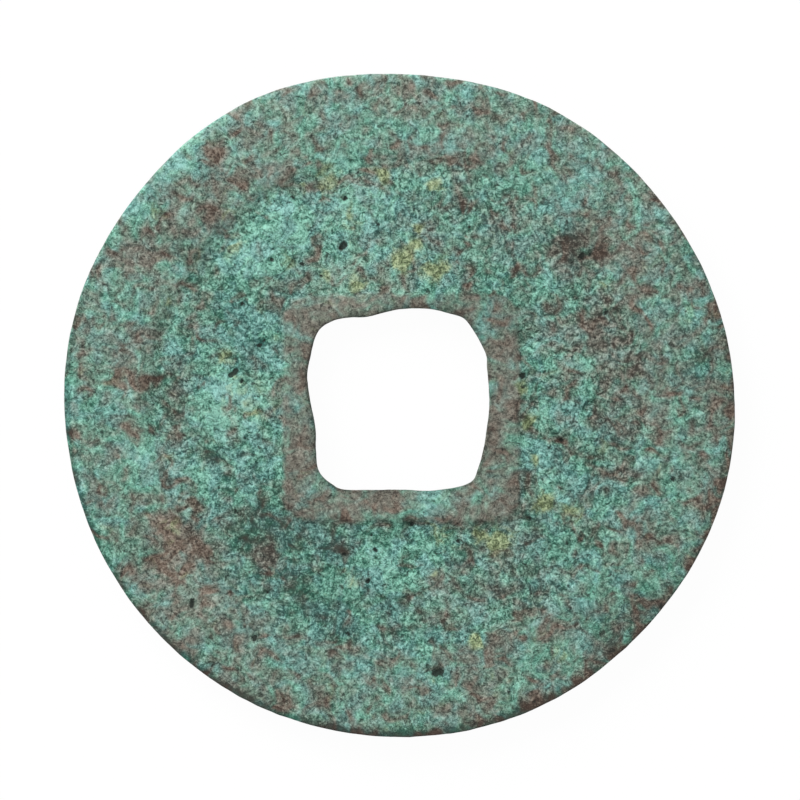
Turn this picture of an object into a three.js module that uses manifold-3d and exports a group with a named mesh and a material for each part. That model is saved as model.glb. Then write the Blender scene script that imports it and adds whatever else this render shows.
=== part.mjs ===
// A cast bronze cash coin, worn and patinated, with bare fields on both faces.
// It lies flat: +Z is up, the origin is the centre of the underside, and sizes are millimetres.
import * as THREE from "three";
import { mergeVertices } from "three/addons/utils/BufferGeometryUtils.js";
import Module from "manifold-3d";

const wasm = await Module();
wasm.setup();

// The casting
const DIAMETER = 25.0;
const THICKNESS = 1.4;
const RECESS_DEPTH = 0.25;
const EDGE_BEVEL = 0.16;
const RIM_WIDTH = 3.2;
const FIELD_RADIUS = DIAMETER / 2 - RIM_WIDTH;
const BACK_FIELD_Z = RECESS_DEPTH;
const FRONT_FIELD_Z = THICKNESS - RECESS_DEPTH;
const OUTLINE_STEPS = 96;
const FIELD_STEPS = 64;
const CUT_OVERRUN = 0.5;

// How far the worn outline strays from a circle: waves round the coin, amplitude and phase in degrees
const OUTLINE_WAVES = [
  { count: 2, amplitude: 0.079, phase: 56.6 },
  { count: 3, amplitude: 0.045, phase: -21.1 },
  { count: 5, amplitude: 0.022, phase: 87.6 },
  { count: 6, amplitude: 0.034, phase: 32.0 },
  { count: 7, amplitude: 0.017, phase: -90.3 },
  { count: 8, amplitude: 0.017, phase: 163.6 },
];

// The hole's worn edge, anticlockwise from the right side
const HOLE_OUTLINE = [
  [3.38, 0.1], [3.3, 1.3], [3.2, 2.0], [2.53, 3.1], [1.9, 3.37], [1.0, 3.55],
  [0.0, 3.52], [-1.1, 3.26], [-1.8, 3.22], [-2.46, 3.08], [-3.02, 2.64], [-3.35, 1.4],
  [-3.35, 0.6], [-3.09, -0.9], [-3.07, -1.7], [-2.98, -2.45], [-2.5, -2.97], [-1.85, -3.19],
  [0.0, -3.18], [1.24, -3.22], [2.6, -2.96], [2.98, -2.37], [3.25, -1.2],
];
const HOLE_STEPS = 60;

// The raised square border round the hole
const BORDER = { x: 0.11, y: -0.17, width: 8.8, height: 8.45, corner: 0.9 };

// Verdigris crusts: flat cakes of green corrosion that lie in the recessed fields
const CRUST_THICKNESS = 0.12;
const CRUST_BEVEL = 0.05;
const CRUST_STEPS = 36;
const FRONT_CRUSTS = {
  front_crust_top: [
    [-1.2, 5.3], [-0.2, 7.2], [-1.6, 8.3], [-3.9, 7.9], [-5.9, 6.5], [-6.5, 4.9], [-5.2, 3.8], [-4.9, 4.9], [-3.4, 5.5],
  ],
  front_crust_left: [
    [-5.1, 1.9], [-5.6, 3.0], [-7.0, 2.9], [-8.3, 1.2], [-8.1, -0.5], [-7.0, -1.9], [-5.5, -2.6], [-5.0, -1.1],
    [-5.3, 0.4],
  ],
  front_crust_bottom: [
    [-4.6, -5.6], [-2.3, -5.2], [0.4, -5.1], [2.4, -5.2], [1.9, -6.4], [0.2, -7.3], [-2.2, -7.6], [-4.4, -7.3],
    [-5.4, -6.5],
  ],
  front_crust_right: [
    [5.2, -3.4], [5.1, -1.2], [5.3, 1.4], [6.3, 2.2], [7.6, 1.0], [7.5, -1.6], [6.8, -3.9], [5.9, -4.7],
  ],
};
const BACK_CRUSTS = {
  back_crust_top: [
    [-3.2, 5.2], [0.3, 5.1], [3.4, 5.4], [4.3, 6.8], [1.9, 8.0], [-1.2, 8.1], [-3.9, 7.0],
  ],
  back_crust_side: [
    [5.2, -3.3], [5.2, -0.4], [5.7, 1.9], [7.3, 2.2], [8.2, 0.3], [7.6, -2.4], [6.3, -4.4],
  ],
};

// Metals and minerals
const patinatedBronze = new THREE.MeshStandardMaterial({ color: 0x6d7768, roughness: 0.72, metalness: 0.35 });
const verdigris = new THREE.MeshStandardMaterial({ color: 0x6fae9a, roughness: 0.95, metalness: 0 });

const radians = (degrees) => (degrees * Math.PI) / 180;

function wornRadius(angle) {
  const waves = OUTLINE_WAVES.map((w) => w.amplitude * Math.cos(w.count * angle + radians(w.phase)));
  return DIAMETER / 2 + waves.reduce((sum, wave) => sum + wave, 0);
}

function ring(steps, radiusAt) {
  return Array.from({ length: steps }, (_, i) => {
    const angle = (2 * Math.PI * i) / steps;
    return new THREE.Vector2(radiusAt(angle) * Math.cos(angle), radiusAt(angle) * Math.sin(angle));
  });
}

// The outline's box is centred on the axis, so that the origin is the middle of the underside
function centred(points) {
  const middle = new THREE.Box2().setFromPoints(points).getCenter(new THREE.Vector2());
  return { points: points.map((p) => p.clone().sub(middle)), middle };
}

function closedSpline(outline, steps, middle) {
  const curve = new THREE.CatmullRomCurve3(outline.map(([x, y]) => new THREE.Vector3(x, y, 0)), true);
  const points = curve.getSpacedPoints(steps).slice(0, steps);
  return points.map((p) => new THREE.Vector2(p.x, p.y).sub(middle));
}

function roundedSquare({ x, y, width, height, corner }, middle) {
  const left = x - width / 2 - middle.x;
  const bottom = y - height / 2 - middle.y;
  const right = left + width;
  const top = bottom + height;
  const path = new THREE.Path();
  path.absarc(right - corner, top - corner, corner, 0, Math.PI / 2);
  path.absarc(left + corner, top - corner, corner, Math.PI / 2, Math.PI);
  path.absarc(left + corner, bottom + corner, corner, Math.PI, 1.5 * Math.PI);
  path.absarc(right - corner, bottom + corner, corner, 1.5 * Math.PI, 2 * Math.PI);
  path.closePath();
  return path;
}

function toSolid(geometry) {
  const bare = geometry.clone();
  bare.deleteAttribute("normal");
  bare.deleteAttribute("uv");
  const merged = mergeVertices(bare, 1e-5);
  const vertProperties = new Float32Array(merged.attributes.position.array);
  const triVerts = new Uint32Array(merged.index.array);
  return new wasm.Manifold(new wasm.Mesh({ numProp: 3, vertProperties, triVerts }));
}

function toGeometry(solid) {
  const mesh = solid.getMesh();
  const geometry = new THREE.BufferGeometry();
  geometry.setAttribute("position", new THREE.BufferAttribute(mesh.vertProperties, 3));
  geometry.setIndex(new THREE.BufferAttribute(mesh.triVerts, 1));
  geometry.computeVertexNormals();
  return geometry;
}

function blank(outline, hole) {
  const shape = new THREE.Shape(outline);
  shape.holes.push(new THREE.Path(hole));
  const geometry = new THREE.ExtrudeGeometry(shape, {
    depth: THICKNESS - 2 * EDGE_BEVEL,
    bevelThickness: EDGE_BEVEL,
    bevelSize: EDGE_BEVEL,
    bevelOffset: -EDGE_BEVEL,
    bevelSegments: 2,
  });
  return geometry.translate(0, 0, EDGE_BEVEL);
}

// The sunk ring between the outer rim and the square border, deep enough to run past the face
function fieldCutter(middle, fromZ) {
  const shape = new THREE.Shape(ring(FIELD_STEPS, () => FIELD_RADIUS).map((p) => p.sub(middle)));
  shape.holes.push(roundedSquare(BORDER, middle));
  const geometry = new THREE.ExtrudeGeometry(shape, { depth: RECESS_DEPTH + CUT_OVERRUN, bevelEnabled: false });
  return geometry.translate(0, 0, fromZ);
}

function bronzeCasting(outline, middle) {
  const hole = closedSpline(HOLE_OUTLINE, HOLE_STEPS, middle);
  const front = toSolid(fieldCutter(middle, FRONT_FIELD_Z));
  const back = toSolid(fieldCutter(middle, BACK_FIELD_Z - RECESS_DEPTH - CUT_OVERRUN));
  const solid = toSolid(blank(outline, hole)).subtract(front).subtract(back);
  return toGeometry(solid);
}

// A cake of crust whose flat side is at z = 0 and whose rounded side faces up or down
function crust(outline, middle, up) {
  const shape = new THREE.Shape(closedSpline(outline, CRUST_STEPS, middle));
  const geometry = new THREE.ExtrudeGeometry(shape, {
    depth: CRUST_THICKNESS - 2 * CRUST_BEVEL,
    bevelThickness: CRUST_BEVEL,
    bevelSize: CRUST_BEVEL,
    bevelOffset: -CRUST_BEVEL,
    bevelSegments: 1,
  });
  return geometry.translate(0, 0, up ? CRUST_BEVEL : CRUST_BEVEL - CRUST_THICKNESS);
}

function addPiece(group, name, geometry, material, z) {
  const mesh = new THREE.Mesh(geometry, material);
  mesh.name = name;
  mesh.position.z = z;
  group.add(mesh);
}

const coin = new THREE.Group();
const { points: coinOutline, middle } = centred(ring(OUTLINE_STEPS, wornRadius));

addPiece(coin, "bronze_casting", bronzeCasting(coinOutline, middle), patinatedBronze, 0);
for (const [name, outline] of Object.entries(FRONT_CRUSTS)) {
  addPiece(coin, name, crust(outline, middle, true), verdigris, FRONT_FIELD_Z);
}
for (const [name, outline] of Object.entries(BACK_CRUSTS)) {
  addPiece(coin, name, crust(outline, middle, false), verdigris, BACK_FIELD_Z);
}

export default coin;
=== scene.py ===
import math

import bpy
import numpy as np
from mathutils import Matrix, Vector


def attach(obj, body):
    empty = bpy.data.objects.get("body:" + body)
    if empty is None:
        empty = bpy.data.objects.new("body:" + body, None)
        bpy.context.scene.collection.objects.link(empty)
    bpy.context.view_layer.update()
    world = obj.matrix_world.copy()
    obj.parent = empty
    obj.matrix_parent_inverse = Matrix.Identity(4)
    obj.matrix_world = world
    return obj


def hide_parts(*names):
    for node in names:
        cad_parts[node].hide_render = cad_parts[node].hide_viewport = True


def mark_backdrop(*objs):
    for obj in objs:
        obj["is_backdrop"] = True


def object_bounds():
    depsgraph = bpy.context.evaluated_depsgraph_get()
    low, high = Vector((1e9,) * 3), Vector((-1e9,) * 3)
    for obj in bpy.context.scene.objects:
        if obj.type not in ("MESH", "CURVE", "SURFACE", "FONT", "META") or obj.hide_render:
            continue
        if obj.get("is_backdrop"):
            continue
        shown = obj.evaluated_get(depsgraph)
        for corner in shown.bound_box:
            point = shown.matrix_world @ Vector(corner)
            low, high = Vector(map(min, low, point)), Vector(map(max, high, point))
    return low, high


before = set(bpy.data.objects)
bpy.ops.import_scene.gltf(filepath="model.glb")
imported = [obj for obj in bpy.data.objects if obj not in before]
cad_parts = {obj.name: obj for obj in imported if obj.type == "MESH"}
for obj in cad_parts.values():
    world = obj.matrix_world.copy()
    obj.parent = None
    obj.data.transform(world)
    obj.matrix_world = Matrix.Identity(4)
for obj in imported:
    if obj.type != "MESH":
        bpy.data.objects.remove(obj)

cad_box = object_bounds()
cad_low, cad_high = [np.array(corner) for corner in cad_box]


# The view: straight down on the coin with a long macro lens, as a coin is photographed for a catalogue.
# Positions that were read off the photograph are in pixels of its 800 pixel frame, and are turned into
# metres on the coin here.
MM = 0.001
MEAN_RADIUS = 12.5 * MM
PIXEL = MEAN_RADIUS / 335.28
COIN_CENTRE_PX = (398.4, 404.05)
FRAME_PX = 800
LENS_MM = 362.0
FILM_MM = 36.0
CLIP_NEAR = 0.01
CLIP_FAR = 20
OUTLINE_SAMPLES = 721

# Waves of the worn outline round the coin: count, amplitude in mm, phase in degrees
OUTLINE_WAVES = np.array([
    (2, 0.079, 56.6),
    (3, 0.045, -21.1),
    (5, 0.022, 87.6),
    (6, 0.034, 32.0),
    (7, 0.017, -90.3),
    (8, 0.017, 163.6),
])


def worn_radius(angle):
    """The mean radius plus a sum of cosines, one for each wave of the worn outline."""
    count, amplitude, phase = OUTLINE_WAVES.T[:, :, None]
    return MEAN_RADIUS + MM * (amplitude * np.cos(count * angle + np.radians(phase))).sum(axis=0)


round_coin = np.linspace(0, 2 * np.pi, OUTLINE_SAMPLES)
outline_x = worn_radius(round_coin) * np.cos(round_coin)
outline_y = worn_radius(round_coin) * np.sin(round_coin)
MIDDLE = np.array([outline_x.min() + outline_x.max(), outline_y.min() + outline_y.max()]) / 2


def on_coin(x_px, y_px):
    """Photograph pixels to metres on the coin: right is +X, up is +Y, and the box's middle is the origin."""
    x = (np.asarray(x_px, float) - COIN_CENTRE_PX[0]) * PIXEL - MIDDLE[0]
    y = (COIN_CENTRE_PX[1] - np.asarray(y_px, float)) * PIXEL - MIDDLE[1]
    return x, y


view_x, view_y = on_coin(FRAME_PX / 2, FRAME_PX / 2)
face_z = cad_high[2]
camera_data = bpy.data.cameras.new("catalogue_camera")
camera_data.lens = LENS_MM
camera_data.sensor_width = FILM_MM
camera_height = LENS_MM / FILM_MM * FRAME_PX * PIXEL
camera_data.clip_start = CLIP_NEAR
camera_data.clip_end = CLIP_FAR
camera = bpy.data.objects.new("catalogue_camera", camera_data)
camera.location = (view_x, view_y, face_z + camera_height)
bpy.context.scene.collection.objects.link(camera)
bpy.context.scene.camera = camera


# The floor and the light: a white light table, which shows hardly any shadow, under a white sky and a
# large soft box. The box stands low at the upper left, so that the relief is seen.
FLOOR_SIZE = 6.0
FLOOR_WHITE = 0.93
FLOOR_GLOW_SHARE = 0.97
WORLD_STRENGTH = 0.60
SOFT_BOX_SIZE = 0.24
SOFT_BOX_DISTANCE = 0.36
SOFT_BOX_WATTS = 1.5
SOFT_BOX_AZIMUTH = math.radians(128)
SOFT_BOX_ELEVATION = math.radians(38)


def white_floor():
    """A flat square sheet at the height where the coin rests. To the camera and in reflections it is almost
    all white glow, with a share of matt left in, and to all other light it is matt."""
    half = FLOOR_SIZE / 2
    corners = [(-half, -half, 0), (half, -half, 0), (half, half, 0), (-half, half, 0)]
    mesh = bpy.data.meshes.new("light_table")
    mesh.from_pydata(corners, [], [(0, 1, 2, 3)])
    material = bpy.data.materials.new("white_table")
    material.use_nodes = True
    nodes, links = material.node_tree.nodes, material.node_tree.links
    nodes.clear()
    output = nodes.new("ShaderNodeOutputMaterial")
    mix = nodes.new("ShaderNodeMixShader")
    matt = nodes.new("ShaderNodeBsdfDiffuse")
    glow = nodes.new("ShaderNodeEmission")
    path = nodes.new("ShaderNodeLightPath")
    seen = nodes.new("ShaderNodeMath")
    share = nodes.new("ShaderNodeMath")
    matt.inputs["Color"].default_value = (FLOOR_WHITE, FLOOR_WHITE, FLOOR_WHITE, 1)
    seen.operation = "MAXIMUM"
    share.operation = "MULTIPLY"
    share.inputs[1].default_value = FLOOR_GLOW_SHARE
    links.new(path.outputs["Is Camera Ray"], seen.inputs[0])
    links.new(path.outputs["Is Glossy Ray"], seen.inputs[1])
    links.new(seen.outputs[0], share.inputs[0])
    links.new(share.outputs[0], mix.inputs[0])
    links.new(matt.outputs[0], mix.inputs[1])
    links.new(glow.outputs[0], mix.inputs[2])
    links.new(mix.outputs[0], output.inputs[0])
    mesh.materials.append(material)
    floor = bpy.data.objects.new("light_table", mesh)
    bpy.context.scene.collection.objects.link(floor)
    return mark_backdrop(floor)


def white_world():
    """A uniform white sky, at full strength to the camera and softer as a light."""
    world = bpy.data.worlds.new("white_studio")
    bpy.context.scene.world = world
    world.use_nodes = True
    nodes, links = world.node_tree.nodes, world.node_tree.links
    background = nodes["Background"]
    background.inputs["Color"].default_value = (1, 1, 1, 1)
    path = nodes.new("ShaderNodeLightPath")
    strength = nodes.new("ShaderNodeMapRange")
    strength.inputs["To Min"].default_value = WORLD_STRENGTH
    strength.inputs["To Max"].default_value = 1.0
    links.new(path.outputs["Is Camera Ray"], strength.inputs["Value"])
    links.new(strength.outputs["Result"], background.inputs["Strength"])


def soft_box():
    """A square area light that faces the coin from the upper left."""
    data = bpy.data.lights.new("soft_box", "AREA")
    data.shape = "SQUARE"
    data.size = SOFT_BOX_SIZE
    data.energy = SOFT_BOX_WATTS
    lamp = bpy.data.objects.new("soft_box", data)
    level = math.cos(SOFT_BOX_ELEVATION) * SOFT_BOX_DISTANCE
    lamp.location = (
        level * math.cos(SOFT_BOX_AZIMUTH),
        level * math.sin(SOFT_BOX_AZIMUTH),
        math.sin(SOFT_BOX_ELEVATION) * SOFT_BOX_DISTANCE,
    )
    lamp.rotation_euler = (-Vector(lamp.location)).to_track_quat("-Z", "Y").to_euler()
    bpy.context.scene.collection.objects.link(lamp)


white_floor()
white_world()
soft_box()
bpy.context.scene.view_settings.view_transform = "Standard"


# The cast coin: one pour of bronze with a wide outer rim, a square hole in a raised border and a sunken
# field between them, the same on both faces. Centuries in the ground have worn every edge round, eaten
# pits into it and left a brown and green skin of corrosion.
FIELD_RADIUS = 9.3 * MM
RECESS_DEPTH = 0.25 * MM
BORDER_CENTRE = np.array([0.11, -0.17]) * MM
BORDER_HALF = np.array([4.4, 4.22]) * MM
BORDER_CORNER = 0.9 * MM
EDGE_ROUND = 0.17 * MM
SKIN_ALLOWANCE = 0.03 * MM
ROUND_STEPS = 560
FRONT_ROWS = 110
BACK_ROWS = 44
WALL_ROWS = 9
FRONT_SEED = 11
BACK_SEED = 41

# The hole's worn edge, in mm, anticlockwise from the right side
HOLE_OUTLINE = np.array([
    (3.38, 0.10), (3.30, 1.30), (3.20, 2.00), (2.53, 3.10), (1.90, 3.37), (1.00, 3.55),
    (0.00, 3.52), (-1.10, 3.26), (-1.80, 3.22), (-2.46, 3.08), (-3.02, 2.64), (-3.35, 1.40),
    (-3.35, 0.60), (-3.09, -0.90), (-3.07, -1.70), (-2.98, -2.45), (-2.50, -2.97), (-1.85, -3.19),
    (0.00, -3.18), (1.24, -3.22), (2.60, -2.96), (2.98, -2.37), (3.25, -1.20),
])

# Where the corrosion differs: x, y and radius in photograph pixels, and a strength. Green and light have
# negative strengths too, where the skin is browner or darker. Ochre is a yellow green, and smooth is worn.
PITS_PX = [
    (292, 198, 3, 1), (287, 203, 2, 1), (344, 198, 3, 1), (345, 242, 4, 1), (342, 246, 3, 1),
    (271, 258, 3, 1), (302, 265, 3, 1), (320, 276, 3, 1), (456, 181, 3, 1), (242, 304, 3, 1),
    (230, 376, 3, 1), (242, 382, 3, 1), (192, 601, 3, 1), (192, 606, 3, 1), (255, 638, 4, 1),
    (236, 512, 3, 1), (267, 592, 3, 1), (348, 634, 3, 1), (345, 555, 3, 1), (438, 553, 3, 1),
    (459, 540, 3, 1), (377, 549, 3, 1), (369, 581, 3, 1), (372, 534, 2, 1), (464, 586, 3, 1),
    (434, 674, 4, 1), (441, 673, 5, 1), (523, 376, 3, 1), (673, 478, 3, 1), (469, 229, 3, 1),
    (606, 312, 3, 1), (561, 440, 3, 1), (260, 346, 4, 1), (264, 340, 3, 1), (235, 372, 4, 1),
    (582, 256, 4, 1), (590, 253, 3, 1), (572, 262, 3, 1), (412, 525, 3, 1), (529, 520, 3, 1),
]
GREEN_PX = [
    (555, 400, 34, -0.6), (565, 460, 25, -0.4), (545, 340, 20, -0.35), (200, 455, 16, -0.4),
    (185, 495, 20, 0.45), (128, 215, 16, -0.5), (110, 285, 14, -0.35), (540, 250, 26, -0.45),
    (300, 570, 26, -0.25), (425, 508, 13, -0.6), (290, 690, 20, 0.35), (390, 705, 25, 0.3),
    (545, 690, 20, 0.3), (650, 300, 28, -0.25), (545, 165, 14, 0.35), (205, 215, 42, -0.45),
    (155, 265, 36, -0.35), (240, 190, 26, -0.35), (130, 200, 26, 0.2), (640, 560, 50, 0.15),
    (430, 300, 26, 0.8), (480, 300, 26, 0.9), (505, 335, 22, 0.8), (505, 400, 14, 0.5),
    (505, 450, 14, 0.4), (120, 470, 40, 0.2), (150, 640, 50, -0.3), (300, 235, 50, 0.15),
    (360, 230, 40, 0.15), (600, 210, 40, 0.2), (560, 320, 36, 0.3), (330, 480, 160, 0.1),
    (270, 230, 30, 0.9), (240, 265, 30, 0.8), (225, 290, 22, 0.5), (255, 330, 25, 0.5), (276, 370, 9, 1.2),
    (222, 392, 22, 0.5), (255, 420, 22, 0.4), (270, 480, 20, 1.0), (235, 480, 20, 0.4),
    (180, 345, 14, 0.7), (185, 165, 16, 0.6), (290, 215, 20, 0.5), (355, 165, 14, 0.6),
    (390, 115, 20, 0.5), (310, 120, 14, 0.5), (340, 110, 14, 0.5), (350, 210, 16, 0.4),
    (360, 280, 14, 0.4), (430, 190, 16, 0.4), (395, 205, 14, 0.3), (535, 110, 12, 0.5),
    (530, 180, 20, 0.5), (585, 165, 18, 0.8), (570, 200, 14, 0.4), (530, 370, 11, 0.9),
    (535, 450, 11, 1.0), (390, 560, 26, 1.0), (370, 530, 18, 0.7), (440, 545, 24, 0.7),
    (350, 590, 20, 0.7), (400, 600, 20, 0.4), (560, 540, 22, 0.6), (590, 560, 18, 0.4),
    (480, 640, 14, 0.4), (390, 640, 30, 0.3), (670, 560, 12, 0.6), (650, 590, 12, 0.5),
    (690, 370, 12, 0.4), (670, 310, 12, 0.5), (95, 410, 16, 0.4), (150, 460, 16, 0.4), (110, 300, 12, 0.5),
    (545, 660, 16, 0.5), (570, 650, 12, 0.6), (510, 700, 16, 0.4), (420, 720, 20, 0.3),
    (690, 320, 10, 0.4), (430, 491, 30, 1.0), (474, 500, 8, 1.0), (170, 530, 20, -1.4),
    (165, 565, 18, -1.1), (200, 550, 18, -1.1), (215, 600, 14, -1.0), (190, 625, 20, -0.7),
    (240, 620, 18, -0.5), (250, 655, 14, -0.7), (130, 340, 10, -0.7), (140, 385, 14, -0.6),
    (180, 395, 12, -0.4), (200, 455, 12, -0.6), (275, 555, 20, -0.7), (215, 150, 12, -1.0),
    (245, 140, 14, -0.5), (180, 220, 20, -0.4), (140, 260, 26, -0.5), (90, 330, 12, -0.4),
    (300, 165, 14, -0.4), (340, 240, 9, -0.5), (460, 155, 10, -0.5), (420, 95, 8, -0.5),
    (575, 240, 24, -1.1), (610, 250, 20, -0.7), (640, 260, 18, -0.5), (670, 285, 12, -0.5),
    (630, 340, 28, -0.6), (640, 370, 20, -0.6), (600, 300, 30, -0.3), (610, 390, 20, -0.5),
    (560, 440, 9, -0.8), (655, 445, 9, -0.5), (660, 190, 14, -0.6), (540, 405, 8, -0.8),
    (470, 290, 14, -0.8), (440, 615, 12, -0.9), (500, 560, 14, -0.3), (540, 560, 14, -0.3),
    (530, 510, 10, -0.5), (470, 655, 14, -0.5), (490, 640, 12, -0.4), (640, 610, 12, -0.8),
    (500, 680, 20, -0.4), (455, 715, 12, -0.4), (350, 650, 12, -0.3),
]
LIGHT_PX = [
    (553, 405, 17, -0.8), (572, 468, 17, -1.1), (375, 272, 42, 0.55), (430, 240, 20, 0.4),
    (220, 235, 24, 0.5), (175, 305, 20, 0.5), (370, 165, 45, 0.3), (400, 85, 55, 0.35),
    (470, 150, 40, 0.25), (505, 215, 14, 0.5), (195, 458, 12, -0.8), (243, 450, 13, -0.6),
    (100, 410, 20, -0.4), (190, 428, 13, 0.45), (180, 490, 20, 0.5), (366, 560, 12, -0.9),
    (235, 550, 16, -0.35), (700, 380, 55, -0.25), (470, 494, 13, 0.5), (360, 496, 18, 0.4),
    (195, 225, 50, -0.2), (620, 640, 40, -0.25), (250, 130, 30, 0.2), (470, 310, 40, -0.25),
    (185, 640, 50, 0.2), (175, 570, 30, 0.15), (640, 480, 60, -0.1), (95, 400, 40, 0.2),
    (300, 235, 45, 0.35), (290, 570, 50, -0.45), (330, 600, 40, -0.35), (565, 330, 40, 0.25),
    (540, 230, 30, 0.3), (340, 280, 22, 0.8), (385, 190, 20, 0.5), (430, 180, 12, 0.6),
    (340, 190, 30, 0.4), (450, 265, 16, 0.8), (450, 235, 12, 0.4), (240, 240, 22, 0.6),
    (285, 215, 14, 0.9), (250, 265, 20, 0.5), (270, 280, 8, 0.8), (230, 395, 24, 0.9), (225, 420, 16, 0.9),
    (262, 400, 14, 0.7), (280, 370, 9, 0.8), (275, 395, 10, 0.8), (150, 460, 20, 0.7), (185, 480, 16, 0.4),
    (180, 165, 12, 0.8), (285, 110, 12, 0.8), (210, 330, 12, 0.5), (175, 300, 10, 0.4),
    (600, 160, 12, 0.5), (590, 190, 12, 0.7), (640, 215, 14, 0.6), (540, 210, 16, 0.3),
    (430, 580, 16, 0.8), (375, 560, 14, 0.4), (580, 520, 14, 0.7), (560, 570, 12, 0.4),
    (350, 590, 12, 0.4), (480, 620, 16, 0.5), (400, 670, 14, 0.4), (360, 690, 10, 0.5),
    (650, 575, 12, 0.6), (670, 400, 14, 0.3), (520, 130, 16, 0.3), (450, 110, 20, 0.2),
    (430, 491, 26, 0.7), (575, 240, 18, -1.8), (545, 235, 12, -1.2), (600, 250, 12, -1.2),
    (430, 260, 7, -1.5), (397, 240, 9, -0.6), (335, 245, 8, -0.6), (300, 175, 10, -0.5),
    (215, 215, 14, -0.6), (180, 240, 14, -0.4), (115, 290, 10, -0.4), (235, 320, 14, -0.7),
    (260, 345, 8, -1.2), (245, 370, 12, -1.0), (205, 365, 8, -0.6), (160, 385, 14, -1.0),
    (185, 395, 8, -0.8), (215, 455, 16, -1.1), (245, 440, 10, -0.8), (260, 470, 10, -0.4),
    (265, 520, 25, -0.9), (290, 540, 22, -0.8), (330, 550, 20, -1.1), (345, 545, 10, -0.9),
    (300, 590, 20, -1.0), (320, 620, 14, -0.9), (250, 540, 22, -0.8), (340, 635, 14, -0.8),
    (410, 525, 10, -1.0), (470, 560, 10, -1.0), (465, 590, 10, -0.8), (480, 530, 8, -0.8),
    (530, 520, 10, -0.7), (540, 575, 12, -1.0), (530, 590, 12, -0.6), (400, 600, 12, -0.6),
    (395, 635, 14, -0.7), (430, 635, 10, -0.6), (437, 673, 7, -1.0), (560, 440, 8, -1.6),
    (585, 455, 14, -0.6), (650, 445, 8, -0.8), (605, 315, 8, -1.0), (630, 340, 20, -0.6),
    (640, 370, 16, -0.6), (525, 335, 8, -0.8), (540, 390, 8, -0.6), (580, 400, 16, -0.4),
    (690, 260, 14, -0.9), (700, 360, 14, -1.1), (460, 155, 10, -0.8), (465, 210, 10, -0.7),
    (500, 170, 14, -0.3), (640, 610, 28, -1.0), (610, 640, 20, -0.8), (660, 560, 14, -0.9),
    (690, 600, 20, -1.0), (150, 560, 20, -0.6), (190, 650, 25, -0.6), (240, 700, 20, -0.7),
    (330, 715, 14, -0.8), (400, 730, 12, -1.0), (520, 715, 14, -0.7),
]
OCHRE_PX = [
    (383, 172, 8, 1.0), (435, 184, 8, 0.8), (417, 230, 6, 0.7), (412, 248, 7, 1.0), (400, 262, 10, 1.0),
    (430, 270, 13, 0.8), (445, 265, 8, 0.5), (360, 283, 11, 0.6), (327, 277, 8, 0.6), (330, 180, 13, 0.5),
    (305, 190, 8, 0.3), (290, 265, 14, 0.4), (235, 240, 12, 0.35), (350, 215, 20, 0.25),
    (225, 360, 10, 0.4), (240, 395, 20, 0.35), (265, 415, 14, 0.3), (273, 335, 8, 0.4), (525, 385, 7, 0.7),
    (528, 420, 8, 0.7), (535, 460, 8, 0.5), (545, 505, 11, 0.9), (572, 515, 11, 0.5), (500, 547, 11, 1.0),
    (480, 535, 8, 0.6), (440, 535, 16, 0.4), (475, 645, 8, 1.0), (605, 283, 9, 0.5), (605, 448, 8, 0.4),
    (170, 530, 10, 0.3), (160, 215, 10, 0.3), (165, 460, 8, 0.3), (350, 580, 12, 0.3), (400, 590, 12, 0.4),
    (435, 575, 8, 0.3), (560, 655, 12, 0.3), (690, 315, 8, 0.3), (500, 700, 14, 0.2), (166, 302, 8, 0.4),
]
RUST_PX = [
    (212, 155, 9, 0.9), (243, 144, 8, 0.6), (318, 232, 7, 0.6), (450, 159, 8, 0.7), (467, 157, 7, 0.6),
    (467, 209, 6, 0.5), (521, 171, 7, 0.5), (602, 245, 9, 0.6), (628, 253, 9, 0.5), (646, 310, 9, 0.6),
    (97, 315, 10, 0.5), (133, 347, 9, 0.7), (128, 389, 9, 0.6), (148, 382, 8, 0.6), (200, 451, 9, 0.6),
    (202, 551, 12, 0.9), (205, 599, 11, 0.8), (172, 530, 14, 1.0), (168, 560, 14, 0.9),
    (188, 575, 16, 0.6), (244, 662, 9, 0.7), (287, 556, 7, 0.5), (277, 580, 8, 0.5), (347, 514, 7, 0.6),
    (300, 478, 7, 0.6), (446, 621, 8, 0.7), (562, 440, 7, 0.6), (652, 448, 10, 0.5), (489, 657, 8, 0.6),
    (522, 639, 9, 0.6), (483, 661, 8, 0.6), (539, 405, 6, 0.7), (567, 243, 12, 0.5), (640, 605, 12, 0.5),
]
SMOOTH_PX = [
    (470, 558, 8, 0.8), (457, 572, 7, 0.8), (436, 592, 7, 0.8), (140, 440, 26, 0.4), (240, 690, 24, 0.4),
    (540, 640, 16, 0.4), (640, 400, 20, 0.5), (120, 380, 16, 0.4), (180, 640, 16, 0.4),
    (270, 180, 16, 0.5),
]

# Wear of the faces: steps and bands as first and last distance, and the size and height of lumps and grit
RIM_STEP = np.array([-0.30, 0.25]) * MM
RIM_WANDER = 0.16 * MM
BORDER_STEP = np.array([-0.12, 0.18]) * MM
BORDER_WANDER = 0.10 * MM
# The next three bands place painted highlight and painted shade at the outer edge and on the hole's lip
EDGE_BAND = np.array([11.9, 12.45]) * MM
SHADE_LINE_BAND = np.array([12.12, 12.36]) * MM
HOLE_LIP = np.array([0.04, 0.30]) * MM
HOLE_CURVE_STEPS = 12
ZONE_WANDER = 0.30 * MM
PIT_WANDER = 0.12 * MM
WANDER_SIZE = 1.1 * MM
WORN_SIDE = math.radians(20)
LUMP_SIZE, LUMP_HEIGHT = 2.2 * MM, 0.05 * MM
GRIT_SIZE, GRIT_HEIGHT = 0.42 * MM, 0.045 * MM
LIGHT_RISE = 0.022 * MM
PIT_DEPTH = 0.09 * MM
FIELD_SHARE, WORN_SHARE = 0.92, 0.30
LEAST_DEPTH = 0.004 * MM
WALL_ROUGHNESS = 0.02 * MM
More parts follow.
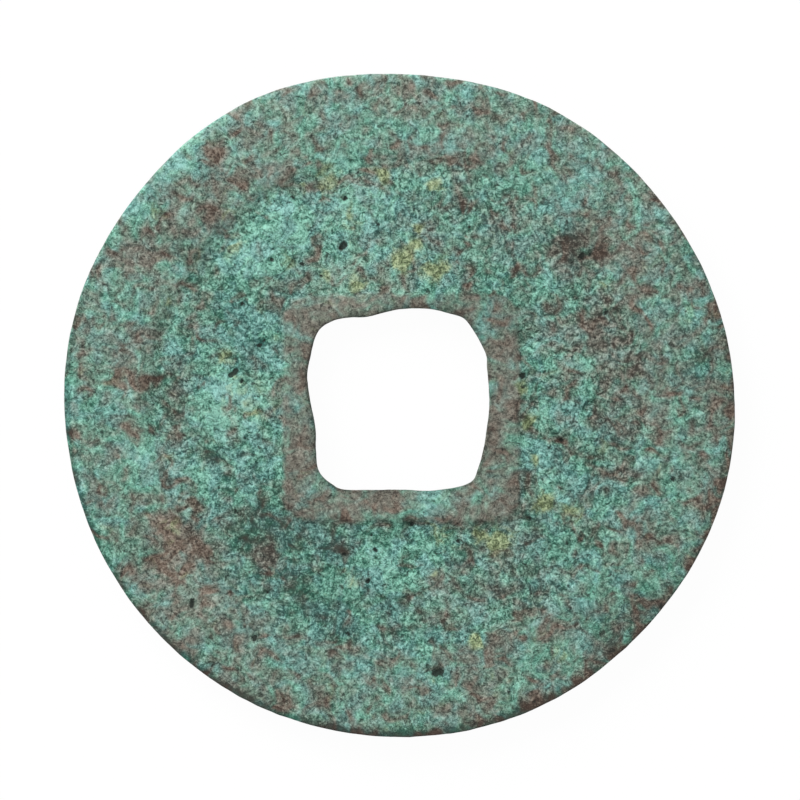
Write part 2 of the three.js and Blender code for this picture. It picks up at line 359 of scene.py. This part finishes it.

# How much greener, lighter or smoother the border is, and the painted light at the outer edge and the hole's
# lip
BORDER_GREEN, BORDER_LIGHT, BORDER_SMOOTH = -0.75, -0.32, 0.55
# Outer edge: a pale green painted highlight at the upper left, and painted shade at the lower right, painted
# darker and browner there
EDGE_HIGHLIGHT_GREEN, EDGE_PAINTED_HIGHLIGHT_AND_SHADE, EDGE_PAINTED_SHADE_BROWN = 0.5, 1.1, 0.7
# A painted shade line along the lower left of the outer edge, and painted shade on the hole's lip
PAINTED_SHADE_LINE, HOLE_LIP_PAINTED_SHADE = -2.2, -0.9

# The random lattices of the weathering: points along a side, shift, turn of each octave and fading
LATTICE = 97
LATTICE_SHIFT = (31.7, 17.3)
OCTAVE_TURN = 0.6
OCTAVE_FADE = 0.55


def weathering(x, y, coarsest, octaves, seed):
    """Fractal noise from -1 to 1: smoothly blended random lattices, each turned, half as coarse as the one
    before, and weaker by the same share."""
    draw = np.random.default_rng(seed)
    total, weight, weights = np.zeros(np.shape(x)), 1.0, 0.0
    for octave in range(octaves):
        lattice = draw.random((LATTICE, LATTICE))
        turn = OCTAVE_TURN + octave
        u = (x * math.cos(turn) - y * math.sin(turn)) / coarsest + LATTICE_SHIFT[0]
        v = (x * math.sin(turn) + y * math.cos(turn)) / coarsest + LATTICE_SHIFT[1]
        i, j = np.floor(u).astype(int), np.floor(v).astype(int)
        s, t = u - i, v - j
        s, t = s * s * (3 - 2 * s), t * t * (3 - 2 * t)
        i, j, i_next, j_next = i % LATTICE, j % LATTICE, (i + 1) % LATTICE, (j + 1) % LATTICE
        low = lattice[i, j] * (1 - s) + lattice[i_next, j] * s
        high = lattice[i, j_next] * (1 - s) + lattice[i_next, j_next] * s
        total += weight * (low * (1 - t) + high * t)
        weights += weight
        weight *= OCTAVE_FADE
        coarsest /= 2
    return 2 * total / weights - 1


def zones(x, y, spots_px, wander=ZONE_WANDER):
    """A sum of soft bells, one at each listed spot, with its radius and strength. Fractal noise pushes
    the points about before the bells are read, so that no spot stays round."""
    x = x + wander * weathering(x, y, WANDER_SIZE, 5, 78)
    y = y + wander * weathering(x, y, WANDER_SIZE, 5, 79)
    total = np.zeros(np.shape(x))
    for x_px, y_px, radius_px, strength in spots_px:
        spot_x, spot_y = on_coin(x_px, y_px)
        total += strength * np.exp(-((x - spot_x) ** 2 + (y - spot_y) ** 2) / (radius_px * PIXEL) ** 2)
    return total


def smooth_step(low, high, value):
    """0 below low, 1 above high and an s-curve between them."""
    t = np.clip((value - low) / (high - low), 0, 1)
    return t * t * (3 - 2 * t)


def closed_spline(points, samples):
    """A closed Catmull-Rom curve: a cubic from each point to the next, whose slope at a point is half the
    step between its neighbours."""
    before, end, after = np.roll(points, 1, 0), np.roll(points, -1, 0), np.roll(points, -2, 0)
    t = np.linspace(0, 1, samples, endpoint=False)[:, None, None]
    curve = 0.5 * (
        2 * points
        + (end - before) * t
        + (2 * before - 5 * points + 4 * end - after) * t**2
        + (3 * points - before - 3 * end + after) * t**3
    )
    return curve.transpose(1, 0, 2).reshape(-1, 2)


def reach_at(curve, bearing):
    """How far a closed curve lies from the origin at a bearing, read between its points' own bearings."""
    own_bearing = np.arctan2(curve[:, 1], curve[:, 0])
    order = np.argsort(own_bearing)
    reach = np.hypot(curve[:, 0], curve[:, 1])
    return np.interp(bearing, own_bearing[order], reach[order], period=2 * np.pi)


def hole_radius(angle):
    """Distance from the coin's axis to the hole's edge: the reach of the closed curve through its outline."""
    return reach_at(closed_spline(HOLE_OUTLINE * MM, HOLE_CURVE_STEPS), angle)


def from_axis(x, y):
    """Distance to the axis of the mean circle, which lies off the box's middle."""
    return np.hypot(x + MIDDLE[0], y + MIDDLE[1])


def within_rim(x, y, seed):
    """1 inside the rim's inner edge and 0 on the rim: a worn step with a wandering edge."""
    wander = RIM_WANDER * weathering(x, y, 1.6 * MM, 4, seed)
    return 1 - smooth_step(*(FIELD_RADIUS + RIM_STEP), from_axis(x, y) + wander)


def on_border(x, y, seed):
    """1 on the hole's square border and 0 outside it: the distance to a rounded square, as a worn step."""
    wander = BORDER_WANDER * weathering(x, y, 1.2 * MM, 4, seed + 3)
    offset_x = np.abs(x + MIDDLE[0] - BORDER_CENTRE[0]) - (BORDER_HALF[0] - BORDER_CORNER)
    offset_y = np.abs(y + MIDDLE[1] - BORDER_CENTRE[1]) - (BORDER_HALF[1] - BORDER_CORNER)
    outside = np.hypot(np.maximum(offset_x, 0), np.maximum(offset_y, 0))
    inside = np.minimum(np.maximum(offset_x, offset_y), 0)
    return 1 - smooth_step(*BORDER_STEP, outside + inside - BORDER_CORNER + wander)


def face_depth(x, y, seed, marks):
    """How far a point of a face lies below the rim: the sunken field, which is worn shallower on one side,
    plus fractal lumps and grit, and the pits."""
    field = marks["field"]
    worn = 0.5 + 0.5 * np.cos(np.arctan2(y, x) - WORN_SIDE)
    lumps = weathering(x, y, LUMP_SIZE, 6, seed + 1) * (0.4 + 0.6 * field)
    grit = weathering(x, y, GRIT_SIZE, 4, seed + 2)
    crumbly = (0.45 + 0.75 * field) * (1 - 0.7 * np.clip(marks["smooth"], 0, 1))
    depth = RECESS_DEPTH * (FIELD_SHARE - WORN_SHARE * worn) * field
    depth += LUMP_HEIGHT * (1 - lumps)
    depth += GRIT_HEIGHT * grit * crumbly
    depth -= LIGHT_RISE * np.clip(marks["light"], -1.5, 1.2)
    depth += PIT_DEPTH * np.clip(marks["pit"], 0, 1)
    return np.maximum(depth, LEAST_DEPTH)


def marks_at(x, y, on_front):
    """The mask of each kind of corrosion at each point: its zones, plus a tone for the border, and painted
    light:
    painted shade on the lip of the hole, and on the outer edge a painted highlight at the upper left, painted
    brown shade at the lower right and a painted shade line at the lower left. The back has the front's zones
    a quarter turned."""
    seed = FRONT_SEED if on_front else BACK_SEED
    border = on_border(x, y, seed)
    field = within_rim(x, y, seed) * (1 - border)
    if not on_front:
        x, y = -y, x
    radius = from_axis(x, y)
    # Painted light: the outer edge gets a painted highlight at the upper left, painted shade at the lower
    # right and a painted shade line at the lower left
    upper_left = (y - x) / np.hypot(x, y) / math.sqrt(2)
    lower_left = np.clip(-(x + y) / np.hypot(x, y), 0, 1)
    at_edge = smooth_step(*EDGE_BAND, radius)
    painted_shade_line = smooth_step(*SHADE_LINE_BAND, radius) * lower_left
    # The hole's lip is darkened as painted shade
    past_hole = radius - hole_radius(np.arctan2(y + MIDDLE[1], x + MIDDLE[0]))
    at_hole = 1 - smooth_step(*HOLE_LIP, past_hole)
    painted_light_and_shade = EDGE_PAINTED_HIGHLIGHT_AND_SHADE * at_edge * upper_left + HOLE_LIP_PAINTED_SHADE * at_hole + PAINTED_SHADE_LINE * painted_shade_line
    return {
        "green": zones(x, y, GREEN_PX) + BORDER_GREEN * border + EDGE_HIGHLIGHT_GREEN * at_edge * upper_left,
        "light": zones(x, y, LIGHT_PX) + BORDER_LIGHT * border + painted_light_and_shade,
        "ochre": zones(x, y, OCHRE_PX),
        "rust_and_shade": zones(x, y, RUST_PX) + EDGE_PAINTED_SHADE_BROWN * at_edge * np.clip(-upper_left, 0, 1),
        "smooth": zones(x, y, SMOOTH_PX) + BORDER_SMOOTH * border,
        "pit": zones(x, y, PITS_PX, PIT_WANDER),
        "field": field,
    }


def coin_face(angle, inner, outer, rows, on_front):
    """One face as rings between the hole's edge and the outline, drawn closer together towards both. Its
    depth turns into a quarter circle at either edge."""
    t = (np.arange(rows) + 0.5) / rows
    share = (t - 0.5 * np.sin(2 * np.pi * t) / (2 * np.pi))[:, None]
    radius = inner + (outer - inner) * share
    x = radius * np.cos(angle) - MIDDLE[0]
    y = radius * np.sin(angle) - MIDDLE[1]
    marks = marks_at(x, y, on_front)
    depth = face_depth(x, y, FRONT_SEED if on_front else BACK_SEED, marks)
    to_edge = np.minimum(radius - inner, outer - radius)
    round_width = EDGE_ROUND * (1.0 + 0.5 * weathering(x, y, 1.1 * MM, 3, 9))
    near = np.clip(1 - to_edge / round_width, 0, 1)
    depth = depth * (1 - near**2) + round_width * (1 - np.sqrt(1 - near**2))
    z = cad_high[2] - SKIN_ALLOWANCE - depth if on_front else cad_low[2] + SKIN_ALLOWANCE + depth
    return x, y, z, marks


def coin_wall(angle, base, outwards, heights):
    """A wall as rings between two heights, whose radius strays from the base by fractal noise."""
    first, last = heights
    share = ((np.arange(WALL_ROWS) + 0.5) / WALL_ROWS)[:, None]
    arc = np.broadcast_to(angle * base.mean(), share.shape[:1] + angle.shape)
    z = np.broadcast_to(first + (last - first) * share, arc.shape)
    radius = base + outwards * WALL_ROUGHNESS * (weathering(arc, z, 0.5 * MM, 4, 23) - 1)
    x = radius * np.cos(angle) - MIDDLE[0]
    y = radius * np.sin(angle) - MIDDLE[1]
    return x, y, z, marks_at(x, y, True)


def coin_surface():
    """The coin's skin as a closed grid: the cross-section's loop (front face outwards, outer wall down, back
    face inwards, hole wall up) is carried round the axis."""
    angle = np.linspace(0, 2 * np.pi, ROUND_STEPS, endpoint=False)
    chips = weathering(angle * MEAN_RADIUS, 0 * angle, 0.8 * MM, 3, 5)
    outer = worn_radius(angle) - SKIN_ALLOWANCE + WALL_ROUGHNESS * chips
    inner = hole_radius(angle)
    high = cad_high[2] - SKIN_ALLOWANCE - EDGE_ROUND
    low = cad_low[2] + SKIN_ALLOWANCE + EDGE_ROUND
    front = coin_face(angle, inner, outer, FRONT_ROWS, True)
    outside = coin_wall(angle, outer, 1, (high, low))
    back = coin_face(angle, inner, outer, BACK_ROWS, False)
    back = (*(part[::-1] for part in back[:3]), {name: mask[::-1] for name, mask in back[3].items()})
    inside = coin_wall(angle, inner, -1, (low, high))
    bands = [front, outside, back, inside]
    points = np.stack([np.concatenate([band[k] for band in bands]) for k in range(3)], axis=-1)
    marks = {name: np.concatenate([band[3][name] for band in bands]) for name in front[3]}
    return points, marks


def closed_grid(name, points, marks):
    """Quads between neighbouring grid points, closed in both directions, and one attribute for each mask."""
    rows, steps = points.shape[:2]
    index = np.arange(rows * steps).reshape(rows, steps)
    across, around = np.roll(index, -1, 0), np.roll(index, -1, 1)
    both = np.roll(across, -1, 1)
    quads = np.stack([index, across, both, around], axis=-1).reshape(-1, 4)
    mesh = bpy.data.meshes.new(name)
    mesh.vertices.add(rows * steps)
    mesh.vertices.foreach_set("co", points.reshape(-1).astype(np.float32))
    mesh.loops.add(quads.size)
    mesh.loops.foreach_set("vertex_index", quads.reshape(-1).astype(np.int32))
    mesh.polygons.add(len(quads))
    mesh.polygons.foreach_set("loop_start", np.arange(0, quads.size, 4, dtype=np.int32))
    mesh.update(calc_edges=True)
    mesh.shade_smooth()
    for mark, values in marks.items():
        layer = mesh.attributes.new(mark, "FLOAT", "POINT")
        layer.data.foreach_set("value", values.reshape(-1).astype(np.float32))
    piece = bpy.data.objects.new(name, mesh)
    bpy.context.scene.collection.objects.link(piece)
    return piece


def new_group(name, inputs, outputs):
    """An empty shader group with named sockets."""
    group = bpy.data.node_groups.new(name, "ShaderNodeTree")
    for socket, kind, value in inputs:
        made = group.interface.new_socket(socket, in_out="INPUT", socket_type=kind)
        made.default_value = value
    for socket, kind in outputs:
        group.interface.new_socket(socket, in_out="OUTPUT", socket_type=kind)
    return group, group.nodes.new("NodeGroupInput"), group.nodes.new("NodeGroupOutput")


def put(nodes, links, kind, settings=None, **sockets):
    """Adds a node, sets its properties, and sets or links its sockets. These are given by name, or by __ and
    their number."""
    node = nodes.new(kind)
    for name, value in (settings or {}).items():
        setattr(node, name, value)
    for name, value in sockets.items():
        socket = node.inputs[int(name[2:])] if name.startswith("__") else node.inputs[name]
        if isinstance(value, bpy.types.NodeSocket):
            links.new(value, socket)
        else:
            socket.default_value = value
    return node


# The corrosion's noise layers: how many features to the metre, detail, roughness and distortion
LAYERS = {
    "drift": (650, 2, 0.60, 1.0),
    "reddish": (1000, 2, 0.60, 1.0),
    "bluish": (1300, 1.5, 0.50, 0.6),
    "blotch": (1500, 6, 0.66, 0.8),
    "veins": (1500, 1.3, 0.50, 0.8),
    "yellowish": (1900, 1.5, 0.50, 0.8),
    "flakes": (2700, 4, 0.55, 1.2),
    "pores": (4200, 4, 0.62, 0.5),
    "grain": (5200, 6, 0.74, 0.7),
    "speck": (17000, 3, 0.75, 0.5),
}
CRUMBS_PER_METRE = 9500

# Colours of each kind of corrosion where its tone is dark, middling and light, and where those tones lie
TONES = (0.24, 0.50, 0.80)
BROWNS = ((0.050, 0.045, 0.036), (0.188, 0.180, 0.146), (0.400, 0.385, 0.325))
GREENS = ((0.023, 0.119, 0.080), (0.132, 0.350, 0.260), (0.340, 0.700, 0.555))
BLUES = ((0.030, 0.118, 0.101), (0.138, 0.340, 0.300), (0.350, 0.680, 0.612))
RUSTS = ((0.070, 0.040, 0.028), (0.210, 0.145, 0.108), (0.360, 0.290, 0.230))
OCHRES = ((0.080, 0.110, 0.045), (0.265, 0.335, 0.165), (0.530, 0.620, 0.350))
PIT_BLACK = (0.012, 0.018, 0.014, 1)
MASKS = ("Green", "Light", "Ochre", "Rust_and_shade", "Smooth", "Pit", "Field")


def corrosion_group():
    """Colour, roughness and height of corroded bronze. Weighted sums of the noise layers and the masks make a
    tone and a hue. The tone runs through each kind's colours, the hue chooses between brown and green, and
    the rust, ochre and pit masks choose the places of the others."""
    group, inputs, outputs = new_group(
        "bronze_corrosion",
        [(name, "NodeSocketFloat", 0) for name in (*MASKS, "Greenness")],
        [("Color", "NodeSocketColor"), ("Roughness", "NodeSocketFloat"), ("Height", "NodeSocketFloat")],
    )
    nodes, links = group.nodes, group.links
    place = nodes.new("ShaderNodeTexCoord").outputs["Object"]
    given = inputs.outputs

    def noise(name):
        """One of the noise layers, read on the coin itself."""
        scale, detail, roughness, distortion = LAYERS[name]
        sockets = {"Scale": scale, "Detail": detail, "Roughness": roughness, "Distortion": distortion}
        return put(nodes, links, "ShaderNodeTexNoise", Vector=place, **sockets).outputs["Fac"]

    def maths(operation, first, second=0.0, third=0.0):
        """The outcome of one operation on up to three values."""
        node = put(nodes, links, "ShaderNodeMath", {"operation": operation}, __0=first, __1=second, __2=third)
        return node.outputs[0]

    def weighted(start, *layers):
        """The start plus, for each layer, its distance from a middle value times a weight."""
        total = start
        for value, middle, weight in layers:
            centred = maths("SUBTRACT", value, middle) if middle else value
            total = maths("MULTIPLY_ADD", centred, weight, total)
        return total

    def step(value, low, high):
        """0 at low, 1 at high and an s-curve between them."""
        sockets = {"From Min": low, "From Max": high}
        settings = {"interpolation_type": "SMOOTHSTEP"}
        return put(nodes, links, "ShaderNodeMapRange", settings, Value=value, **sockets).outputs["Result"]

    def tones(colours):
        """A ramp through a dark, a middling and a light colour, which the tone runs along."""
        ramp = put(nodes, links, "ShaderNodeValToRGB", Fac=tone)
        dark, light = ramp.color_ramp.elements
        dark.position, light.position = TONES[0], TONES[2]
        dark.color, light.color = (*colours[0], 1), (*colours[2], 1)
        ramp.color_ramp.elements.new(TONES[1]).color = (*colours[1], 1)
        return ramp.outputs["Color"]

    def blend(share, first, second):
        """The second colour laid over the first by a share."""
        node = put(nodes, links, "ShaderNodeMix", {"data_type": "RGBA"}, __0=share, __6=first, __7=second)
        return node.outputs[2]

    blotch, grain, speck, veins = noise("blotch"), noise("grain"), noise("speck"), noise("veins")
    # Crevices: thin lines along the flakes' noise, darkened in the tone as painted shade and sunk in the
    # height as grooves
    crevice = step(maths("ABSOLUTE", maths("SUBTRACT", noise("flakes"), 0.5)), 0.028, 0.0)
    cells = put(nodes, links, "ShaderNodeTexVoronoi", {"feature": "F1"}, Vector=place, Scale=CRUMBS_PER_METRE)
    crumb = maths("SUBTRACT", 1.0, cells.outputs["Distance"])

    crumbly = weighted(0.80, (given["Field"], 0, 0.30), (given["Smooth"], 0, -0.40))
    tone = weighted(0.0, (blotch, 0.5, 0.70), (grain, 0.5, 2.05), (speck, 0.5, 1.0))
    tone = weighted(tone, (crumb, 0.58, 0.22), (crevice, 0, -0.16))
    # The Light and Green masks also bring the painted highlight and painted shade of the outer edge and the
    # hole's lip into the tone and hue
    tone = weighted(maths("MULTIPLY_ADD", tone, crumbly, 0.525), (given["Light"], 0, 0.13))
    hue = weighted(0.425, (noise("drift"), 0.5, 1.4), (veins, 0.5, 1.5), (given["Greenness"], 0, 1.0))
    hue = weighted(hue, (given["Green"], 0, 0.42), (given["Field"], 0, 0.08))
    hue = step(hue, -0.13, 0.98)

    colour = blend(step(noise("bluish"), 0.40, 0.64), tones(GREENS), tones(BLUES))
    colour = blend(hue, tones(BROWNS), colour)
    rusts = tones(RUSTS)
    # The rust mask also carries painted brown shade on the lower right of the outer edge
    rust_and_shade = step(weighted(given["Rust_and_shade"], (veins, 0.5, -3.0)), 0.20, 0.95)
    colour = blend(maths("MULTIPLY", rust_and_shade, 0.65), colour, rusts)
    reddish = maths("MULTIPLY", step(noise("reddish"), 0.52, 0.70), maths("SUBTRACT", 1.0, hue))
    colour = blend(maths("MULTIPLY", reddish, 0.14), colour, rusts)
    ochre = step(weighted(given["Ochre"], (noise("yellowish"), 0.5, 1.1)), 0.12, 0.70)
    colour = blend(maths("MULTIPLY", ochre, 0.90), colour, tones(OCHRES))

    pores = maths("MULTIPLY", step(noise("pores"), 0.375, 0.31), 0.75)
    pits = step(weighted(given["Pit"], (grain, 0.5, 2.6)), 0.52, 0.72)
    pitted = maths("MULTIPLY", maths("MAXIMUM", pores, pits), 0.94)
    colour = blend(pitted, colour, PIT_BLACK)

    height = weighted(0.0, (blotch, 0, 0.75), (grain, 0, 0.55), (speck, 0, 0.22), (crumb, 0, 0.10))
    height = weighted(height, (crevice, 0, -0.16), (pitted, 0, -0.35), (hue, 0, 0.10))
    roughness = weighted(0.80, (given["Smooth"], 0, -0.16), (grain, 0, 0.14))
    links.new(colour, outputs.inputs["Color"])
    links.new(roughness, outputs.inputs["Roughness"])
    links.new(maths("MULTIPLY", height, crumbly), outputs.inputs["Height"])
    return group


# Each finish's own share of green, and how far its fine relief stands up
BRONZE_GREENNESS, BRONZE_RELIEF = 0.0, 0.18 * MM
VERDIGRIS_GREENNESS, VERDIGRIS_RELIEF = 0.12, 0.20 * MM
CORROSION_SPECULAR = 0.35


def corroded_metal(name, group, greenness, relief):
    """A dull skin of corrosion: the group drives its colour and roughness, and its height a fine bump."""
    material = bpy.data.materials.new(name)
    material.use_nodes = True
    nodes, links = material.node_tree.nodes, material.node_tree.links
    shader = nodes["Principled BSDF"]
    skin = nodes.new("ShaderNodeGroup")
    skin.node_tree = group
    for socket in MASKS:
        mask = nodes.new("ShaderNodeAttribute")
        mask.attribute_name = socket.lower()
        links.new(mask.outputs["Fac"], skin.inputs[socket])
    skin.inputs["Greenness"].default_value = greenness
    bump = put(nodes, links, "ShaderNodeBump", Height=skin.outputs["Height"], Strength=1.0, Distance=relief)
    links.new(skin.outputs["Color"], shader.inputs["Base Color"])
    links.new(skin.outputs["Roughness"], shader.inputs["Roughness"])
    links.new(bump.outputs["Normal"], shader.inputs["Normal"])
    shader.inputs["Metallic"].default_value = 0.0
    shader.inputs["Specular IOR Level"].default_value = CORROSION_SPECULAR
    return material


corrosion = corrosion_group()
casting_points, casting_marks = coin_surface()
casting = closed_grid("cast_bronze_coin", casting_points, casting_marks)
casting.data.materials.append(corroded_metal("patinated_bronze", corrosion, BRONZE_GREENNESS, BRONZE_RELIEF))
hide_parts("bronze_casting")
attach(casting, "root")


# The verdigris crusts: cakes of pale green copper salts that grew in the sunken fields. They are dry and
# crumbly, stand a tenth of a millimetre proud of the field and break off in ragged flakes.
CRUST_ROUND_STEPS = 300
CRUST_TOP_ROWS = 100
CRUST_UNDER_ROWS = 5
CRUST_RISE = 0.11 * MM
CRUST_ROOT = 0.06 * MM
CRUST_LEAST_DEPTH = 0.002 * MM
INNERMOST_RING = 0.003
BEARINGS = 720
BEARINGS_EVENED = 16
FLAKE_SIZE = 1.5 * MM
FLAKE_GRIT_SIZE = 0.5 * MM
FLAKE_STEP = (-0.22, 0.12)
FLAKE_SEED, SEEDS_PER_CRUST = 60, 3
EDGE_DROP, EDGE_SHARPNESS = 1.7, 24
CRUST_CURVE_STEPS = 24

# Each crust's outline in mm, anticlockwise
CRUST_OUTLINES = {
    "front_crust_top": [
        (-1.2, 5.3), (-0.2, 7.2), (-1.6, 8.3), (-3.9, 7.9), (-5.9, 6.5), (-6.5, 4.9), (-5.2, 3.8),
        (-4.9, 4.9), (-3.4, 5.5),
    ],
    "front_crust_left": [
        (-5.1, 1.9), (-5.6, 3.0), (-7.0, 2.9), (-8.3, 1.2), (-8.1, -0.5), (-7.0, -1.9), (-5.5, -2.6),
        (-5.0, -1.1), (-5.3, 0.4),
    ],
    "front_crust_bottom": [
        (2.4, -5.2), (0.4, -5.1), (-2.3, -5.2), (-4.6, -5.6), (-5.4, -6.5), (-4.4, -7.3), (-2.2, -7.6),
        (0.2, -7.3), (1.9, -6.4),
    ],
    "front_crust_right": [
        (6.3, 2.2), (5.3, 1.4), (5.1, -1.2), (5.2, -3.4), (5.9, -4.7), (6.8, -3.9), (7.5, -1.6), (7.6, 1.0),
    ],
    "back_crust_top": [
        (4.3, 6.8), (1.9, 8.0), (-1.2, 8.1), (-3.9, 7.0), (-3.2, 5.2), (0.3, 5.1), (3.4, 5.4),
    ],
    "back_crust_side": [
        (7.3, 2.2), (5.7, 1.9), (5.2, -0.4), (5.2, -3.3), (6.3, -4.4), (7.6, -2.4), (8.2, 0.3),
    ],
}


def crust_outline(outline_mm):
    """The middle and the edge of a crust: the closed curve's reach at each bearing from its middle, evened
    out over neighbouring bearings, and walked in equal steps."""
    curve = closed_spline(np.array(outline_mm) * MM, CRUST_CURVE_STEPS)
    middle = curve.mean(axis=0)
    bearing = np.linspace(-np.pi, np.pi, BEARINGS, endpoint=False)
    reach = reach_at(curve - middle, bearing)
    reach = np.mean([np.roll(reach, k) for k in range(-BEARINGS_EVENED, BEARINGS_EVENED + 1)], axis=0)
    curve = middle + reach[:, None] * np.stack([np.cos(bearing), np.sin(bearing)], axis=-1)
    closed = np.vstack([curve, curve[:1]])
    walked = np.concatenate([[0], np.cumsum(np.hypot(*np.diff(closed, axis=0).T))])
    along = np.linspace(0, walked[-1], CRUST_ROUND_STEPS, endpoint=False)
    return middle, np.stack([np.interp(along, walked, closed[:, k]) for k in range(2)], axis=-1)


def crust_surface(outline_mm, on_front, seed):
    """A closed cake: rings grow from the middle to the outline on the open side and shrink again on the
    hidden side. The open side is the coin's face plus fractal flakes, and dips under it where there are none
    and at the outline. The hidden side lies a root's depth below the face."""
    middle, edge = crust_outline(outline_mm)
    share = np.linspace(INNERMOST_RING, 1, CRUST_TOP_ROWS)[:, None]
    x = middle[0] + (edge[:, 0] - middle[0]) * share - MIDDLE[0]
    y = middle[1] + (edge[:, 1] - middle[1]) * share - MIDDLE[1]
    marks = marks_at(x, y, on_front)
    depth = face_depth(x, y, FRONT_SEED if on_front else BACK_SEED, marks)
    flakes = weathering(x, y, FLAKE_SIZE, 6, seed)
    cover = smooth_step(*FLAKE_STEP, flakes + 0.55 * (1 - share**5) - 0.30)
    rise = CRUST_RISE * (1.5 * cover - 0.5) * (0.75 + 0.5 * weathering(x, y, FLAKE_GRIT_SIZE, 4, seed + 1))
    rise -= EDGE_DROP * CRUST_RISE * share**EDGE_SHARPNESS
    hidden_rings = np.linspace(CRUST_TOP_ROWS - 1, 0, CRUST_UNDER_ROWS).astype(int)
    x = np.concatenate([x, x[hidden_rings]])
    y = np.concatenate([y, y[hidden_rings]])
    open_depth = np.maximum(depth - rise, CRUST_LEAST_DEPTH)
    depth = np.concatenate([open_depth, (depth + CRUST_ROOT)[hidden_rings]])
    z = cad_high[2] - SKIN_ALLOWANCE - depth if on_front else cad_low[2] + SKIN_ALLOWANCE + depth
    points = np.stack([x, y, z], axis=-1)
    marks["light"] = marks["light"] + 0.7 * cover
    marks["green"] = marks["green"] + 0.3 * cover
    marks["field"] = np.ones(cover.shape)
    marks = {name: np.concatenate([mask, mask[hidden_rings]]) for name, mask in marks.items()}
    if not on_front:
        points, marks = points[::-1], {name: mask[::-1] for name, mask in marks.items()}
    return points, marks


verdigris = corroded_metal("verdigris", corrosion, VERDIGRIS_GREENNESS, VERDIGRIS_RELIEF)
for number, (node, outline_mm) in enumerate(CRUST_OUTLINES.items()):
    crust_seed = FLAKE_SEED + SEEDS_PER_CRUST * number
    crust_points, crust_marks = crust_surface(outline_mm, node.startswith("front"), crust_seed)
    cake = closed_grid(node + "_cake", crust_points, crust_marks)
    cake.data.materials.append(verdigris)
    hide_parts(node)
    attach(cake, "root")


bpy.context.view_layer.update()
